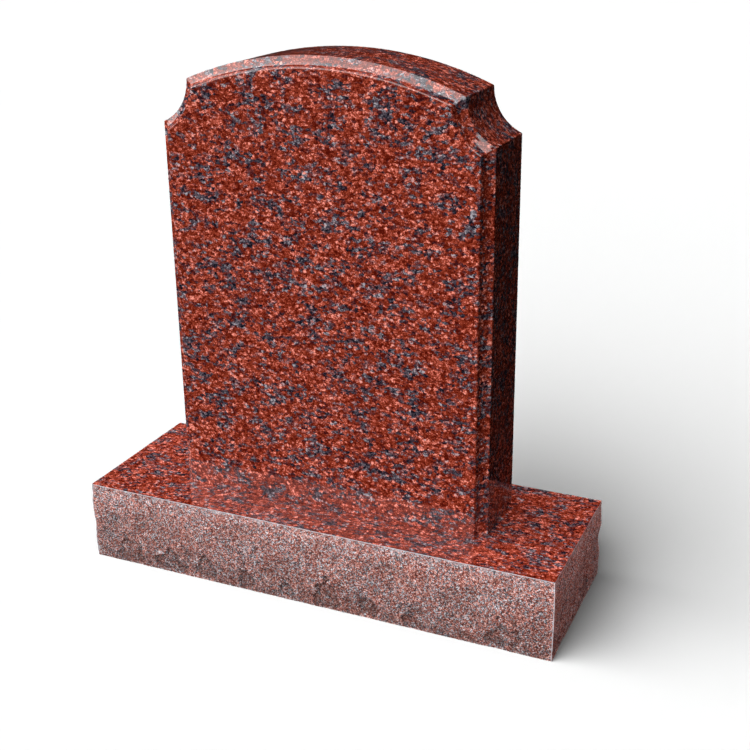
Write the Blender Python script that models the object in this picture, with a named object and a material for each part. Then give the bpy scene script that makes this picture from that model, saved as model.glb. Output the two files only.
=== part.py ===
# Upright granite headstone: a polished tablet with an arched top on a rock-pitched base.
# Metres, +Z up. The origin is the middle of the base's underside, and the front faces -Y.

import math
import random

import bmesh
import bpy
from mathutils import Vector, noise

INCH = 0.0254

BASE_LENGTH = 36 * INCH
BASE_DEPTH = 12 * INCH
BASE_HEIGHT = 6 * INCH

TABLET_WIDTH = 24 * INCH
TABLET_THICKNESS = 6 * INCH
TABLET_HEIGHT = 32 * INCH
TABLET_SETBACK = 0.007  # how far behind the middle of the base the tablet stands
SETTING_GAP = 0.0003

ARCH_RISE = 2 * INCH
SHOULDER_WIDTH = 2 * INCH
SHOULDER_HEIGHT = 3 * INCH

COVE_WIDTH = 0.75 * INCH  # how far the cove reaches in across the face
COVE_DEPTH = 0.75 * INCH  # how far it cuts back from the face
COVE_HOLLOW = 0.0039  # how far it dips below the straight line between its edges
ARRIS = 0.0015  # eased edge between the face and the cove, and round the back

ARCH_STEPS = 32
SHOULDER_STEPS = 12
COVE_STEPS = 8

ROCK_PROUD = 0.0055  # how far the pitched sides swell past the base's size
SWELL_TOP = 4.0  # how abruptly the swell starts under the top edge
SWELL_FOOT = 2.2  # and over the bottom edge
CORNER_SHARE = 0.3  # how much of the swell is left at the upright corners
CORNER_FADE = 0.05  # how far from a corner the swell is whole
ROCK_WANDER = 0.0008  # unevenness of the broken surface and of its edges
WANDER_SPAN = 0.03
ROCK_CELL = 0.5 * INCH  # size of the facets

# Flakes broken off a pitched side. Each is its place along and up the side, as shares of the length from the
# side's middle and of its height, its reach in metres, and how much of the swell is left at its middle.
FRONT_FLAKES = (
    (-0.45, 0.35, 0.060, 0.15),
    (-0.34, 0.56, 0.060, 0.10),
    (-0.28, 0.10, 0.045, -0.20),
    (-0.14, 0.69, 0.070, 0.20),
    (-0.05, 0.23, 0.060, 0.00),
    (0.03, 0.79, 0.055, 0.20),
    (0.12, 0.03, 0.045, -0.20),
    (0.17, 0.59, 0.065, 0.20),
    (0.23, 0.08, 0.040, -0.15),
    (0.33, 0.39, 0.050, 0.00),
    (0.39, 0.00, 0.038, -0.30),
    (0.41, 0.82, 0.060, 0.30),
)
RIGHT_FLAKES = (
    (-0.35, 0.45, 0.065, 0.00),
    (-0.30, 0.02, 0.045, -0.20),
    (-0.25, 1.00, 0.060, 0.00),
    (-0.12, 0.25, 0.060, 0.10),
    (0.09, 0.45, 0.050, 0.00),
    (0.12, 1.02, 0.070, 0.00),
    (0.18, 0.05, 0.050, -0.10),
    (0.30, 0.40, 0.060, 0.10),
    (0.40, 0.98, 0.050, 0.10),
    (0.50, 0.47, 0.040, -0.20),
)
# The back and the left side get rows of flakes at these shares of the height, each moved and sized at random.
FLAKE_ROWS = (0.08, 0.50, 0.95)
FLAKE_SPACING = 0.075
FLAKE_SHIFT = 0.3
FLAKE_LIFT = 0.12
FLAKE_REACH = (0.035, 0.075)
FLAKE_LEFT = (-0.1, 0.35)
BACK_SEED = 3
LEFT_SEED = 4

ROUNDED_BELOW = math.radians(20)  # facets that meet at less than this are shaded as one curve
POLISHED = ((0.30, 0.045, 0.03), 0.10)  # colour and roughness
PITCHED = ((0.33, 0.17, 0.15), 0.70)


def granite(name, colour, roughness):
    material = bpy.data.materials.new(name)
    material.use_nodes = True
    shader = material.node_tree.nodes["Principled BSDF"]
    shader.inputs["Base Color"].default_value = (*colour, 1.0)
    shader.inputs["Roughness"].default_value = roughness
    shader.inputs["Metallic"].default_value = 0.0
    return material


def lofted(name, sections, material, group):
    """One closed solid through sections of equal count, each a ring of points, with flat ends."""
    bm = bmesh.new()
    rings = []
    for section in sections:
        ring = [bm.verts.new(point) for point in section]
        rings.append([bm.edges.new(pair) for pair in zip(ring, ring[1:] + ring[:1])])
    for ring, following in zip(rings, rings[1:]):
        bmesh.ops.bridge_loops(bm, edges=ring + following)
    ends = bmesh.ops.edgeloop_fill(bm, edges=rings[0] + rings[-1])["faces"]
    bmesh.ops.triangulate(bm, faces=ends, ngon_method="BEAUTY")
    bmesh.ops.recalc_face_normals(bm, faces=bm.faces)
    mesh = bpy.data.meshes.new(name)
    bm.to_mesh(mesh)
    bm.free()
    mesh.materials.append(material)
    piece = bpy.data.objects.new(name, mesh)
    group.objects.link(piece)
    return piece


def circles_meet(centre_a, radius_a, centre_b, radius_b):
    """Of the two points where two circles cross, the one nearer the tablet's middle line."""
    across = centre_b - centre_a
    distance = across.length
    along = (radius_a**2 - radius_b**2 + distance**2) / (2 * distance)
    foot = centre_a + across * along / distance
    side = Vector((-across.y, across.x)) * math.sqrt(radius_a**2 - along**2) / distance
    return min(foot + side, foot - side, key=lambda point: abs(point.x))


def arc(centre, start, end, steps):
    """Points from start to end about centre, both ends included, by the shorter way round."""
    first = math.atan2(start.y - centre.y, start.x - centre.x)
    turn = math.atan2(end.y - centre.y, end.x - centre.x) - first
    turn = (turn + math.pi) % (2 * math.pi) - math.pi
    radius = (start - centre).length
    angles = [first + turn * step / steps for step in range(steps + 1)]
    return [centre + radius * Vector((math.cos(angle), math.sin(angle))) for angle in angles]


def tablet_outline(inset):
    """The tablet's outline moved inwards by inset, as (x, height), from the right foot round to the left.

    The arch and the shoulders keep their centres as they move, so the cove mitres where they meet.
    """
    arch_half = TABLET_WIDTH / 2 - SHOULDER_WIDTH
    arch_radius = (arch_half**2 + ARCH_RISE**2) / (2 * ARCH_RISE)
    arch_centre = Vector((0, TABLET_HEIGHT - arch_radius))
    # A shoulder leaves the arch's end straight down and curves out to the side.
    shoulder_radius = (SHOULDER_WIDTH**2 + SHOULDER_HEIGHT**2) / (2 * SHOULDER_WIDTH)
    shoulder_centre = Vector((arch_half + shoulder_radius, TABLET_HEIGHT - ARCH_RISE))

    side = TABLET_WIDTH / 2 - inset
    scoop = shoulder_radius + inset
    drop = math.sqrt(scoop**2 - (shoulder_centre.x - side) ** 2)
    shoulder_foot = Vector((side, shoulder_centre.y - drop))
    arch_end = circles_meet(arch_centre, arch_radius - inset, shoulder_centre, scoop)

    right = [Vector((side, 0)), *arc(shoulder_centre, shoulder_foot, arch_end, SHOULDER_STEPS)]
    left = [Vector((-point.x, point.y)) for point in reversed(right)]
    arch = arc(arch_centre, arch_end, left[0], ARCH_STEPS)
    return right + arch[1:-1] + left


def cove():
    """The moulding's section as (inset, depth behind the face), from the outer edge to the face."""
    outer = Vector((0, COVE_DEPTH))
    inner = Vector((COVE_WIDTH - ARRIS, ARRIS))
    chord = inner - outer
    radius = (chord.length**2 / 4 + COVE_HOLLOW**2) / (2 * COVE_HOLLOW)
    outwards = Vector((chord.y, -chord.x)).normalized()
    centre = (inner + outer) / 2 + outwards * (radius - COVE_HOLLOW)
    return [*arc(centre, outer, inner, COVE_STEPS), Vector((COVE_WIDTH, 0))]


def make_tablet(group):
    front, back = -TABLET_THICKNESS / 2, TABLET_THICKNESS / 2
    section = [(ARRIS, back), (0, back - ARRIS)]
    section += [(inset, front + depth) for inset, depth in cove()]
    rings = [[(x, y, up) for x, up in tablet_outline(inset)] for inset, y in section]
    tablet = lofted("tablet", rings, granite("polished_granite", *POLISHED), group)
    tablet.data.shade_smooth()
    tablet.data.set_sharp_from_angle(angle=ROUNDED_BELOW)
    tablet.location = (0, TABLET_SETBACK, BASE_HEIGHT + SETTING_GAP)


def random_flakes(length, seed):
    rand = random.Random(seed)
    count = round(length / FLAKE_SPACING)
    flakes = []
    for row, up in enumerate(FLAKE_ROWS):
        for index in range(count):
            stagger = 0.5 + 0.5 * (row % 2) + rand.uniform(-FLAKE_SHIFT, FLAKE_SHIFT)
            lifted = up + rand.uniform(-FLAKE_LIFT, FLAKE_LIFT)
            reach, left = rand.uniform(*FLAKE_REACH), rand.uniform(*FLAKE_LEFT)
            flakes.append(((index + stagger) / count - 0.5, lifted, reach, left))
    return flakes


def swell(side, along, up):
    """How far a pitched side stands out at a place on it: a low swelling, cut into by shallow flakes."""
    _, _, length, flakes, number = side
    height = 2 * up / BASE_HEIGHT - 1
    rise = 1 - abs(height) ** (SWELL_TOP if height > 0 else SWELL_FOOT)
    inland = min(1, (length / 2 - abs(along)) / CORNER_FADE)
    out = ROCK_PROUD * rise * (CORNER_SHARE + (1 - CORNER_SHARE) * inland)
    for flake_along, flake_up, reach, left in flakes:
        away = math.hypot(along - flake_along * length, up - flake_up * BASE_HEIGHT) / reach
        out = min(out, ROCK_PROUD * (left + away**2))
    return out + ROCK_WANDER * noise.noise(Vector((along / WANDER_SPAN, up / WANDER_SPAN, number)))


def base_ring(sides, up):
    """The base's outline at a height, side after side. A corner takes the swell of both of its sides."""
    ring = []
    for number, side in enumerate(sides):
        outwards, reach, length, _, _ = side
        way = Vector((-outwards.y, outwards.x))
        before = sides[number - 1]
        cells = round(length / ROCK_CELL)
        for cell in range(cells):
            along = length * (cell / cells - 0.5)
            point = outwards * (reach + swell(side, along, up)) + way * along
            if cell == 0:
                point += before[0] * swell(before, before[2] / 2, up)
            ring.append((*point, up))
    return ring


def make_base(group):
    # Each side: its outward direction, its distance from the middle, its length, its flakes and its number.
    sides = (
        (Vector((0, -1)), BASE_DEPTH / 2, BASE_LENGTH, FRONT_FLAKES, 0),
        (Vector((1, 0)), BASE_LENGTH / 2, BASE_DEPTH, RIGHT_FLAKES, 1),
        (Vector((0, 1)), BASE_DEPTH / 2, BASE_LENGTH, random_flakes(BASE_LENGTH, BACK_SEED), 2),
        (Vector((-1, 0)), BASE_LENGTH / 2, BASE_DEPTH, random_flakes(BASE_DEPTH, LEFT_SEED), 3),
    )
    levels = round(BASE_HEIGHT / ROCK_CELL)
    rings = [base_ring(sides, BASE_HEIGHT * level / levels) for level in range(levels + 1)]
    lofted("base", rings, granite("pitched_granite", *PITCHED), group)


def main():
    for item in list(bpy.data.objects):
        bpy.data.objects.remove(item)
    headstone = bpy.data.collections.new("headstone")
    bpy.context.scene.collection.children.link(headstone)
    make_base(headstone)
    make_tablet(headstone)


main()
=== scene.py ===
import math

import bpy
from mathutils import Euler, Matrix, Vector, noise


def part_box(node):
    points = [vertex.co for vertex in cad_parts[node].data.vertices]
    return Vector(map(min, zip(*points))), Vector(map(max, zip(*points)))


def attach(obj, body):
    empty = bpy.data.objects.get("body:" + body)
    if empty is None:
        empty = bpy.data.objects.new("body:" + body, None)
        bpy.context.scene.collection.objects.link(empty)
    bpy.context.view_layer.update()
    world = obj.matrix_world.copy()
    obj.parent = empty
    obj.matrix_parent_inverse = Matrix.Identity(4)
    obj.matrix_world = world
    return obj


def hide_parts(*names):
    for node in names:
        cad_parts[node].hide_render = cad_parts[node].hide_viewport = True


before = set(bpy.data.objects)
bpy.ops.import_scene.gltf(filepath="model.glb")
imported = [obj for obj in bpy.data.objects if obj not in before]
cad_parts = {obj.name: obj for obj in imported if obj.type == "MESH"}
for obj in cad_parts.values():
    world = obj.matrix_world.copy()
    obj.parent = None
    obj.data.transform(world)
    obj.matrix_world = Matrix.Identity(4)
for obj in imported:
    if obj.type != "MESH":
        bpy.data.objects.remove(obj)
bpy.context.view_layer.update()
baseLow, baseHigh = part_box("base")
print("frame loaded with", len(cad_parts), "nodes")

millimetre = 0.001


def hexColour(code):
    # sRGB hex to the linear colour that a socket takes
    channels = [int(code[i:i + 2], 16) / 255 for i in (1, 3, 5)]
    return (*[c / 12.92 if c <= 0.04045 else ((c + 0.055) / 1.055) ** 2.4 for c in channels], 1.0)


def addNode(tree, kind, inputs=None, ramp=None, **settings):
    # inputs names or numbers a socket, and gives it a value or another node's output
    # ramp lists a colour ramp's stops, as place and hex
    node = tree.nodes.new("ShaderNode" + kind)
    for name, value in settings.items():
        setattr(node, name, value)
    if ramp:
        stops = node.color_ramp.elements
        stops.remove(stops[1])
        stops[0].position = ramp[0][0]
        stops[0].color = hexColour(ramp[0][1])
        for place, colour in ramp[1:]:
            stops.new(place).color = hexColour(colour)
    for socket, value in (inputs or {}).items():
        if isinstance(value, bpy.types.NodeSocket):
            tree.links.new(value, node.inputs[socket])
        else:
            node.inputs[socket].default_value = value
    return node


def newMaterial(name):
    material = bpy.data.materials.new(name)
    material.use_nodes = True
    return material, material.node_tree, material.node_tree.nodes["Principled BSDF"]


# Studio: the photo's angle, a floor that shows white, and one big soft light in front and to the left.
camera = {
    "lookAt": (0.151, 0.0, 0.4972),
    "azimuth": 22.42,  # degrees to the right of straight in front
    "elevation": 20.117,
    "distance": 2.1013,
    "lens": 58.1,  # mm, on a 36 mm sensor
    "shift": (-0.0567, -0.0593),  # the photo's framing
}
sky = {
    # The strength all round, and then each light's azimuth to the right of straight in front, elevation,
    # inner edge and outer edge in degrees, and strength. The polish mirrors smaller, stronger lights than
    # the one that falls on the stone.
    "soft": (0.05, ((-45, 40, 51, 59, 3.45),)),
    "mirrored": (0.002, ((-50, 47, 40, 43, 5.8), (-28, 13, 17, 19, 5.8), (-7, 31, 22, 24, 5.8),
                         (20, 60, 24, 27, 5.8))),
}
lamps = {  # azimuth, elevation and spread in degrees, strength, colour, and the pieces that each one lights
    "shadowLamp": (-40, 12, 105, 84.0, "#ffffff", ("floor",)),
    "backLamp": (184, 16, 25, 1.6, "#ffffff", ("polishedTablet", "pitchedBase")),
    "sideLamp": (116, 22, 10, 1.08, "#ffd2ca", ("pitchedBase",)),
}
lampDistance = 3.0  # m, which makes no difference to the light of a sun lamp
floor = {
    "size": 60.0,  # m
    "gap": 0.2,  # mm under the stone
    "paint": "#595959",
    "roughness": 0.9,
}


def towards(azimuth, elevation):
    around, up = math.radians(azimuth), math.radians(elevation)
    return Vector((math.sin(around) * math.cos(up), -math.cos(around) * math.cos(up), math.sin(up)))


def addCamera(settings):
    turn = Euler((math.radians(90 - settings["elevation"]), 0, math.radians(settings["azimuth"])))
    back = towards(settings["azimuth"], settings["elevation"]) * settings["distance"]
    bpy.ops.object.camera_add(location=Vector(settings["lookAt"]) + back, rotation=turn)
    eye = bpy.context.object
    eye.data.lens = settings["lens"]
    eye.data.shift_x, eye.data.shift_y = settings["shift"]
    bpy.context.scene.camera = eye
    bpy.context.scene.view_settings.view_transform = "Standard"  # white stays white


def addSky(settings):
    world = bpy.data.worlds.new("softSky")
    world.use_nodes = True
    tree = world.node_tree
    tree.nodes.clear()
    way = addNode(tree, "TexCoord").outputs["Generated"]
    strengths = {}
    for kind, (allRound, patches) in settings.items():
        strengths[kind] = allRound
        for azimuth, elevation, inner, outer, level in patches:
            facing = addNode(tree, "VectorMath", {0: way, 1: towards(azimuth, elevation)},
                             operation="DOT_PRODUCT")
            limits = {1: math.cos(math.radians(outer)), 2: math.cos(math.radians(inner)), 3: 0.0, 4: level}
            patch = addNode(tree, "MapRange", {0: facing.outputs["Value"], **limits},
                            interpolation_type="SMOOTHSTEP")
            larger = addNode(tree, "Math", {0: strengths[kind], 1: patch.outputs[0]}, operation="MAXIMUM")
            strengths[kind] = larger.outputs[0]
    ray = addNode(tree, "LightPath")
    strength = addNode(tree, "Mix", {0: ray.outputs["Is Glossy Ray"], 2: strengths["soft"],
                                     3: strengths["mirrored"]}, data_type="FLOAT")
    light = addNode(tree, "Background", {"Strength": strength.outputs[0]})
    backdrop = addNode(tree, "Background", {"Strength": 1.0, "Color": hexColour("#ffffff")})
    mix = addNode(tree, "MixShader", {0: ray.outputs["Is Camera Ray"], 1: light.outputs[0],
                                      2: backdrop.outputs[0]})
    addNode(tree, "OutputWorld", {"Surface": mix.outputs[0]})
    bpy.context.scene.world = world


def addLamp(name, azimuth, elevation, spread, strength, colour, lit):
    # a broad lamp that isn't mirrored in the polish, on the pieces that it is linked to
    way = towards(azimuth, elevation)
    turn = way.to_track_quat("Z", "Y").to_euler()
    bpy.ops.object.light_add(type="SUN", location=way * lampDistance, rotation=turn)
    lamp = bpy.context.object
    lamp.name = name
    lamp.data.energy = strength
    lamp.data.color = hexColour(colour)[:3]
    lamp.data.angle = math.radians(spread)
    lamp.visible_glossy = False
    receivers = bpy.data.collections.new(name + "Receivers")
    for piece in lit:
        receivers.objects.link(bpy.data.objects[piece])
    lamp.light_linking.receiver_collection = receivers


def addFloor(settings):
    # matt grey paint, lit until it shows white: it has no shine, so only the shadow stands out
    height = baseLow[2] - settings["gap"] * millimetre
    bpy.ops.mesh.primitive_plane_add(size=settings["size"], location=(0, 0, height))
    plane = bpy.context.object
    plane.name = "floor"
    material, tree, shader = newMaterial("mattPaint")
    shader.inputs["Base Color"].default_value = hexColour(settings["paint"])
    shader.inputs["Roughness"].default_value = settings["roughness"]
    shader.inputs["Specular IOR Level"].default_value = 0.0
    plane.data.materials.append(material)
    plane.visible_glossy = False  # the polished sides mirror a dark room in the photo, not this floor
    plane.visible_diffuse = False


bpy.ops.object.select_all(action="DESELECT")
addCamera(camera)
addSky(sky)
addFloor(floor)
print("studio ready")


# Red granite: grains of red feldspar, dark quartz and mica gathered in patches, and finer flecks in both.
granite = {
    "grain": (7.4, 4.6, 4.6),  # mm along X, Y and Z: the grains are drawn out across the stone
    "wander": 2.6,  # mm that a grain's outline strays
    "wanderSize": 3.6,  # mm
    "patch": (48.0, 32.0, 26.0),  # mm across the patches
    "patchPull": 0.54,  # how much the patches decide, against the single grain
    "darkShare": 0.40,
    "blur": 0.1,  # how gradually red turns to dark
    "fleck": (3.8, 2.5, 2.5),  # mm
    "fleckPull": 0.5,  # how much the flecks decide how light a place is, against the grain
    "cloud": 1.8,  # mm
    "cloudPull": 0.36,  # how much lighter or darker the clouds make a place
    "spotGap": 10.0,  # mm from one bright spot to the next
    "spotSize": 5.0,  # mm
    "spotShare": 0.5,  # of the places that a spot could take
    "spotPull": 0.4,  # how much lighter a spot is
    "reds": ((0.15, "#4f0f07"), (0.29, "#6a1d0f"), (0.42, "#7a2918"), (0.54, "#873320"), (0.66, "#9a3e2a"),
             (0.77, "#b9523f"), (0.90, "#e47864"), (1.0, "#ffa594")),
    "darks": ((0.15, "#0f0f18"), (0.29, "#211f2b"), (0.42, "#342f3a"), (0.54, "#453e48"), (0.66, "#554d56"),
              (0.77, "#67606a"), (0.90, "#868189"), (1.0, "#b4aeb5")),
    "roughness": 0.06,
    "ior": 1.52,
}
noises = {  # the same for both finishes
    "wanderDetail": 2.0,
    "patchDetail": 3.0,
    "patchRoughness": 0.65,
    "patchRange": (0.3, 0.7),  # the part of the noise that is spread from dark to red
    "cloudDetail": 3.0,
    "cloudRange": (0.25, 0.75),
    "spotRim": 0.3,  # the share of a spot's radius, inside and outside it, where it fades
}


def graniteColour(tree, settings):
    place = addNode(tree, "TexCoord").outputs["Object"]
    shake = addNode(tree, "TexNoise", {"Vector": place, "Scale": 1 / (settings["wanderSize"] * millimetre),
                                       "Detail": noises["wanderDetail"]})
    centred = addNode(tree, "VectorMath", {0: shake.outputs["Color"], 1: (0.5, 0.5, 0.5)},
                      operation="SUBTRACT")
    reach = settings["wander"] * millimetre * 2  # the centred noise goes from -0.5 to 0.5
    strayed = addNode(tree, "VectorMath", {0: centred.outputs[0], "Scale": reach}, operation="SCALE")
    moved = addNode(tree, "VectorMath", {0: place, 1: strayed.outputs[0]}, operation="ADD")
    scaled = {}
    for key in ("grain", "fleck", "patch"):
        perMetre = [1 / (size * millimetre) for size in settings[key]]
        scaled[key] = addNode(tree, "Mapping", {"Vector": moved.outputs[0], "Scale": perMetre}).outputs[0]

    # red or dark
    grain = addNode(tree, "TexVoronoi", {"Vector": scaled["grain"], "Scale": 1.0})
    grainPick = addNode(tree, "SeparateColor", {0: grain.outputs["Color"]})
    patches = addNode(tree, "TexNoise", {"Vector": scaled["patch"], "Scale": 1.0,
                                         "Detail": noises["patchDetail"],
                                         "Roughness": noises["patchRoughness"]})
    low, high = noises["patchRange"]
    spread = addNode(tree, "MapRange", {0: patches.outputs[0], 1: low, 2: high, 3: 0.0, 4: 1.0})
    chosen = addNode(tree, "Mix", {0: settings["patchPull"], 2: grainPick.outputs[0], 3: spread.outputs[0]},
                     data_type="FLOAT")
    isRed = addNode(tree, "MapRange", {0: chosen.outputs[0], 1: settings["darkShare"] - settings["blur"],
                                       2: settings["darkShare"] + settings["blur"], 3: 0.0, 4: 1.0})

    # how light
    fleck = addNode(tree, "TexVoronoi", {"Vector": scaled["fleck"], "Scale": 1.0})
    fleckPick = addNode(tree, "SeparateColor", {0: fleck.outputs["Color"]})
    light = addNode(tree, "Mix", {0: settings["fleckPull"], 2: grainPick.outputs[1], 3: fleckPick.outputs[0]},
                    data_type="FLOAT")
    cloud = addNode(tree, "TexNoise", {"Vector": place, "Scale": 1 / (settings["cloud"] * millimetre),
                                       "Detail": noises["cloudDetail"]})
    low, high = noises["cloudRange"]
    clouded = addNode(tree, "MapRange", {0: cloud.outputs[0], 1: low, 2: high, 3: -settings["cloudPull"],
                                         4: settings["cloudPull"]})
    spot = addNode(tree, "TexVoronoi", {"Vector": moved.outputs[0],
                                        "Scale": 1 / (settings["spotGap"] * millimetre)})
    radius = settings["spotSize"] / settings["spotGap"] / 2
    inSpot = addNode(tree, "MapRange", {0: spot.outputs["Distance"], 1: radius * (1 + noises["spotRim"]),
                                        2: radius * (1 - noises["spotRim"]), 3: 0.0,
                                        4: settings["spotPull"]})
    spotPick = addNode(tree, "SeparateColor", {0: spot.outputs["Color"]})
    hasSpot = addNode(tree, "Math", {0: spotPick.outputs[0], 1: settings["spotShare"]}, operation="LESS_THAN")
    spotted = addNode(tree, "Math", {0: inSpot.outputs[0], 1: hasSpot.outputs[0], 2: clouded.outputs[0]},
                      operation="MULTIPLY_ADD")
    lightness = addNode(tree, "Math", {0: light.outputs[0], 1: spotted.outputs[0]}, operation="ADD")

    red = addNode(tree, "ValToRGB", {0: lightness.outputs[0]}, ramp=settings["reds"])
    dark = addNode(tree, "ValToRGB", {0: lightness.outputs[0]}, ramp=settings["darks"])
    colour = addNode(tree, "Mix", {0: isRed.outputs[0], 6: dark.outputs[0], 7: red.outputs[0]},
                     data_type="RGBA")
    return place, colour.outputs[2]


def polishedGranite(settings):
    # diamond-polished red granite: a clear, hard mirror over the grains
    material, tree, shader = newMaterial("polishedRedGranite")
    place, colour = graniteColour(tree, settings)
    tree.links.new(colour, shader.inputs["Base Color"])
    shader.inputs["Roughness"].default_value = settings["roughness"]
    shader.inputs["IOR"].default_value = settings["ior"]
    return material


# The broken faces show the same minerals crushed to crumbs, which scatter white light and so look paler.
pitched = {
    "grain": (2.2, 2.2, 2.2),  # mm: the real crumbs are finer, and drawn as coarse as they need to show
    "wander": 0.8,
    "wanderSize": 2.5,
    "patch": (60.0, 60.0, 40.0),
    "patchPull": 0.25,
    "darkShare": 0.38,
    "blur": 0.04,
    "fleck": (1.7, 1.7, 1.7),
    "fleckPull": 0.7,
    "cloud": 1.4,
    "cloudPull": 0.3,
    "spotGap": 5.0,
    "spotSize": 1.8,
    "spotShare": 0.5,
    "spotPull": 0.2,
    "reds": ((0.0, "#300b05"), (0.3, "#6c2b1f"), (0.5, "#9b5548"), (0.7, "#cb867a"), (1.0, "#ffd3c9")),
    "darks": ((0.0, "#131016"), (0.3, "#484349"), (0.5, "#807b81"), (0.7, "#bbb8c1"), (1.0, "#fafbff")),
    "paintedShadeRange": (0.42, 1.30),  # painted shade in the hollows and painted light on the crests, as factors on the colour
    "bruise": "#d2d3da",
    "bruiseLine": (1.7, 0.5),  # mm down from the top edge, where the white line starts and is full
    "lumps": 5.0,  # mm across
    "lumpHeight": 1.2,  # mm
    "lumpDetail": 4.0,
    "roughness": 0.85,
}


def pitchedGranite(settings):
    # the same granite broken with a pitching tool: dull, pale and rough, bruised white along its edges, with
    # painted shade in its hollows, towards its foot and under its flakes' rims, and painted light on its
    # crests
    material, tree, shader = newMaterial("pitchedRedGranite")
    place, colour = graniteColour(tree, settings)
    # painted shade and light: the colour is scaled darker in the hollows, towards the foot and under the
    # flakes' rims, and lighter on the crests
    paintedShade = addNode(tree, "Attribute", attribute_name="paintedShade")
    low, high = settings["paintedShadeRange"]
    paintedLightLevel = addNode(tree, "MapRange", {0: paintedShade.outputs["Fac"], 1: 0.0, 2: 1.0, 3: low, 4: high})
    colourWithPaintedShade = addNode(tree, "VectorMath", {0: colour, "Scale": paintedLightLevel.outputs[0]}, operation="SCALE")
    height = addNode(tree, "SeparateXYZ", {0: place}).outputs["Z"]
    start, full = [baseHigh[2] - depth * millimetre for depth in settings["bruiseLine"]]
    atTop = addNode(tree, "MapRange", {0: height, 1: start, 2: full, 3: 0.0, 4: 1.0})
    bruise = addNode(tree, "Attribute", attribute_name="bruise")
    arris = addNode(tree, "Math", {0: atTop.outputs[0], 1: bruise.outputs["Fac"]}, operation="MAXIMUM")
    bruised = addNode(tree, "Mix", {0: arris.outputs[0], 6: colourWithPaintedShade.outputs[0],
                                    7: hexColour(settings["bruise"])}, data_type="RGBA")
    tree.links.new(bruised.outputs[2], shader.inputs["Base Color"])
    lumps = addNode(tree, "TexNoise", {"Vector": place, "Scale": 1 / (settings["lumps"] * millimetre),
                                       "Detail": settings["lumpDetail"]})
    rise = settings["lumpHeight"] * millimetre * 2  # the noise spans about half of its range
    bump = addNode(tree, "Bump", {"Height": lumps.outputs[0], "Distance": rise})
    tree.links.new(bump.outputs[0], shader.inputs["Normal"])
    shader.inputs["Roughness"].default_value = settings["roughness"]
    return material


polished = polishedGranite(granite)
broken = pitchedGranite(pitched)
print("granite mixed")

mergeWithin = 0.01 * millimetre


def mergedCopy(nodeName, pieceName, flatAngle):
    # a CAD node's mesh is loose triangles, so the copy is merged, and its coplanar triangles are joined
    piece = bpy.data.objects.new(pieceName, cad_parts[nodeName].data.copy())
    bpy.context.scene.collection.objects.link(piece)
    piece.data.materials.clear()
    bpy.ops.object.select_all(action="DESELECT")
    piece.select_set(True)
    bpy.context.view_layer.objects.active = piece
    bpy.ops.object.mode_set(mode="EDIT")
    bpy.ops.mesh.select_all(action="SELECT")
    bpy.ops.mesh.customdata_custom_splitnormals_clear()
    bpy.ops.mesh.remove_doubles(threshold=mergeWithin)
    bpy.ops.mesh.normals_make_consistent(inside=False)
    bpy.ops.mesh.dissolve_limited(angle_limit=math.radians(flatAngle))
    bpy.ops.mesh.select_mode(type="FACE")
    bpy.ops.mesh.select_all(action="DESELECT")
    bpy.ops.object.mode_set(mode="OBJECT")
    return piece


# Tablet: the polished die, with every arris eased by a few passes of the polishing block.
tabletStone = {
    "flatAngle": 0.4,  # degrees
    "eased": 0.9,  # mm
    "easedSteps": 2,
    "easedFrom": 28,  # degrees
    "smoothBelow": 40,  # degrees
}


def makeTablet(settings):
    tablet = mergedCopy("tablet", "polishedTablet", settings["flatAngle"])
    ease = tablet.modifiers.new("easedArris", "BEVEL")
    ease.width = settings["eased"] * millimetre
    ease.segments = settings["easedSteps"]
    ease.limit_method = "ANGLE"
    ease.angle_limit = math.radians(settings["easedFrom"])
    bpy.ops.object.modifier_apply(modifier=ease.name)
    bpy.ops.object.shade_smooth_by_angle(angle=math.radians(settings["smoothBelow"]))
    even = tablet.modifiers.new("flatFacesStayFlat", "WEIGHTED_NORMAL")
    even.keep_sharp = True
    bpy.ops.object.modifier_apply(modifier=even.name)
    tablet.data.materials.append(polished)
    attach(tablet, "root")
    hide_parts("tablet")
    return tablet


tablet = makeTablet(tabletStone)
print("tablet polished:", len(tablet.data.polygons), "faces")


# Base: polished on top, and pitched on its four sides.
baseStone = {
    "flatAngle": 0.01,  # degrees
    "squareAngle": 60,  # degrees that two joined triangles may be bent or out of square
    "cuts": 4,  # across a CAD facet of 12.7 mm
    "rounding": 6,  # passes that take the facets' corners off
    "keptEdge": 12.0,  # mm along every edge that isn't rounded
    "breaks": ((30.0, 2.6), (9.0, 0.9), (3.4, 0.4)),  # mm across and mm deep
    "breakShift": 31,  # between one size of chip and the next, so that they don't line up
    "straightEdge": 9.0,  # mm from the top edge and from the foot, where the chips get shallower
    "flakeGap": 84.0,  # mm from one flake along the foot to the next
    "flakeMiddle": (0.4, 0.6),  # the share of the gap where a flake's middle may be
    "flakeWide": (16.0, 34.0),  # mm to each side
    "flakeTall": (4.0, 66.0),  # mm
    "flakeDeep": 2.4,  # mm under its rim
    "flakeBowl": (0.3, 1.0),  # the share of that depth at its middle and under its rim
    "flakeRagged": 0.6,  # how far its outline strays, as a share of its own size
    "reliefPasses": 40,  # of smoothing, for the surroundings that a place is measured against
    "reliefScale": 1.2,  # mm a place stands out from its smoothed surroundings
    "paintedFootShade": 0.5,  # how much the painted shade that darkens towards the foot counts, against the painted shade of the relief
    "paintedFlakeShadow": 0.2,  # how much darker a flake is painted under its rim: painted shadow
    "arrisSlant": 0.3,  # how far a normal on an upright arris points along both sides
    "arrisBruise": 1.1,  # how much of an arris is bruised, before the patches are taken off or added
    "bruisePatch": 9.0,  # mm
    "bruiseReach": 24.0,  # mm down from the top edge, where the bruised patches end
    "smoothBelow": 55,  # degrees
}
levelWithin = 0.1 * millimetre
facingUp = 0.99  # the upward share of a level face's normal


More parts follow.
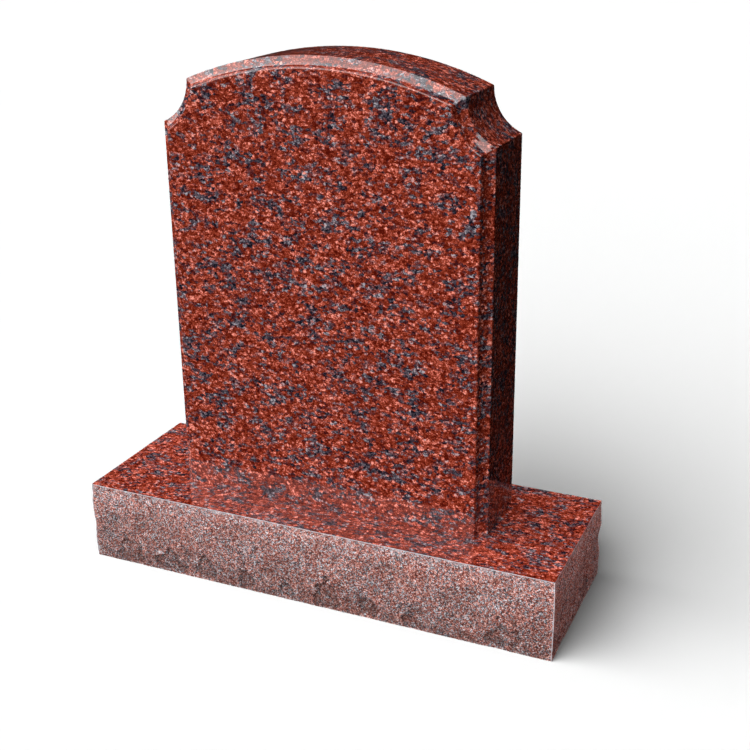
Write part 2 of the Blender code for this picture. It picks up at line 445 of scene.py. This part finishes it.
def level(value, height):
    return abs(value - height) < levelWithin


def isCap(polygon):
    atEnd = level(polygon.center.z, baseLow[2]) or level(polygon.center.z, baseHigh[2])
    return atEnd and abs(polygon.normal.z) > facingUp


def fromArris(point):
    # how far a place on the sides is from the nearest upright arris
    return max(baseHigh[0] - abs(point.x), baseHigh[1] - abs(point.y))


def fromEdge(point):
    return min(baseHigh[2] - point.z, point.z - baseLow[2], fromArris(point))


def between(limits, share):
    return limits[0] + share * (limits[1] - limits[0])


def chipped(point, settings):
    # shallow chips with ridges between them, one size of chip within another
    depth = 0
    for number, (size, deep) in enumerate(settings["breaks"]):
        shift = Vector((0, 0, settings["breakShift"] * number))
        depth += deep * millimetre * abs(noise.noise(point / (size * millimetre) + shift))
    return depth


def flaked(point, out, settings):
    # a row of shell-shaped flakes knocked off along the foot, each one deepest just under its rim
    onFront = abs(out.y) > abs(out.x)
    along = (point.x if onFront else point.y) / (settings["flakeGap"] * millimetre)
    number = math.floor(along)
    side = (1 if onFront else 2) * math.copysign(1, out.y if onFront else out.x)
    draw = noise.cell_vector(Vector((number + 0.5, side + 0.5, 0.5)))  # three random shares for each flake
    wide = between(settings["flakeWide"], draw.x)
    tall = between(settings["flakeTall"], draw.y)
    across = (along - number - between(settings["flakeMiddle"], draw.z)) * settings["flakeGap"] / wide
    ragged = settings["flakeRagged"] * noise.noise(point / (settings["flakeWide"][0] * millimetre))
    fromMiddle = math.hypot(across, (point.z - baseLow[2]) / (tall * millimetre)) + ragged
    awayFromArris = min(1, fromArris(point) / (settings["flakeGap"] * millimetre))
    return between(settings["flakeBowl"], fromMiddle) * awayFromArris if fromMiddle < 1 else 0


def makeBase(settings):
    base = mergedCopy("base", "pitchedBase", settings["flatAngle"])
    for polygon in base.data.polygons:
        polygon.select = isCap(polygon)
    square = math.radians(settings["squareAngle"])
    bpy.ops.object.mode_set(mode="EDIT")
    bpy.ops.mesh.delete(type="FACE")
    bpy.ops.mesh.select_all(action="SELECT")
    bpy.ops.mesh.tris_convert_to_quads(face_threshold=square, shape_threshold=square)
    bpy.ops.mesh.subdivide(number_cuts=settings["cuts"])
    bpy.ops.object.mode_set(mode="OBJECT")

    kept = settings["keptEdge"] * millimetre
    inner = base.vertex_groups.new(name="awayFromEdges")
    inner.add([v.index for v in base.data.vertices if fromEdge(v.co) > kept], 1.0, "REPLACE")
    rounding = base.modifiers.new("facetsRounded", "SMOOTH")
    rounding.iterations = settings["rounding"]
    rounding.vertex_group = inner.name
    bpy.ops.object.modifier_apply(modifier=rounding.name)
    base.vertex_groups.clear()

    outwards = [Vector((*v.normal.xy, 0)).normalized() for v in base.data.vertices]
    flakes = [flaked(v.co, out, settings) for v, out in zip(base.data.vertices, outwards)]
    for v, out, flake in zip(base.data.vertices, outwards, flakes):
        toEdge = min(baseHigh[2] - v.co.z, v.co.z - baseLow[2])
        shallow = min(1, toEdge / (settings["straightEdge"] * millimetre))
        deep = chipped(v.co, settings) + settings["flakeDeep"] * millimetre * flake
        v.co -= out * deep * shallow

    # painted shade: a place is drawn darker the lower it stands on the side, the deeper it lies below its
    # smoothed surroundings and the nearer it is under a flake's rim, and lighter on the crests
    surroundings = base.modifiers.new("surroundings", "SMOOTH")
    surroundings.iterations = settings["reliefPasses"]
    smoothed = base.evaluated_get(bpy.context.evaluated_depsgraph_get()).data.vertices
    paintedShade = base.data.attributes.new("paintedShade", "FLOAT", "POINT")
    bruise = base.data.attributes.new("bruise", "FLOAT", "POINT")
    share = settings["paintedFootShade"]
    for v, out, around, flake in zip(base.data.vertices, outwards, smoothed, flakes):
        proud = 0.5 + (v.co - around.co).dot(out) / (settings["reliefScale"] * millimetre)
        paintedLightLevel = share * v.co.z / baseHigh[2] + (1 - share) * min(1, max(0, proud))
        paintedShade.data[v.index].value = paintedLightLevel - settings["paintedFlakeShadow"] * flake
        onArris = min(abs(out.x), abs(out.y)) > settings["arrisSlant"]
        nearTop = max(0, 1 - (baseHigh[2] - v.co.z) / (settings["bruiseReach"] * millimetre))
        patch = noise.noise(v.co / (settings["bruisePatch"] * millimetre))
        white = settings["arrisBruise"] + patch if onArris else nearTop * patch
        bruise.data[v.index].value = min(1, max(0, white))
    base.modifiers.clear()

    base.data.materials.append(broken)
    bpy.ops.object.mode_set(mode="EDIT")
    bpy.ops.mesh.select_all(action="SELECT")
    bpy.ops.mesh.fill_holes(sides=0)
    bpy.ops.mesh.normals_make_consistent(inside=False)
    bpy.ops.object.mode_set(mode="OBJECT")
    base.data.materials.append(polished)
    for polygon in base.data.polygons:
        onTop = polygon.normal.z > facingUp and level(polygon.center.z, baseHigh[2])
        polygon.material_index = 1 if onTop else 0
    bpy.ops.object.shade_smooth_by_angle(angle=math.radians(settings["smoothBelow"]))
    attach(base, "root")
    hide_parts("base")
    return base


base = makeBase(baseStone)
print("base pitched:", len(base.data.polygons), "faces")

for name, lamp in lamps.items():
    addLamp(name, *lamp)
print("lamps aimed:", len(lamps))
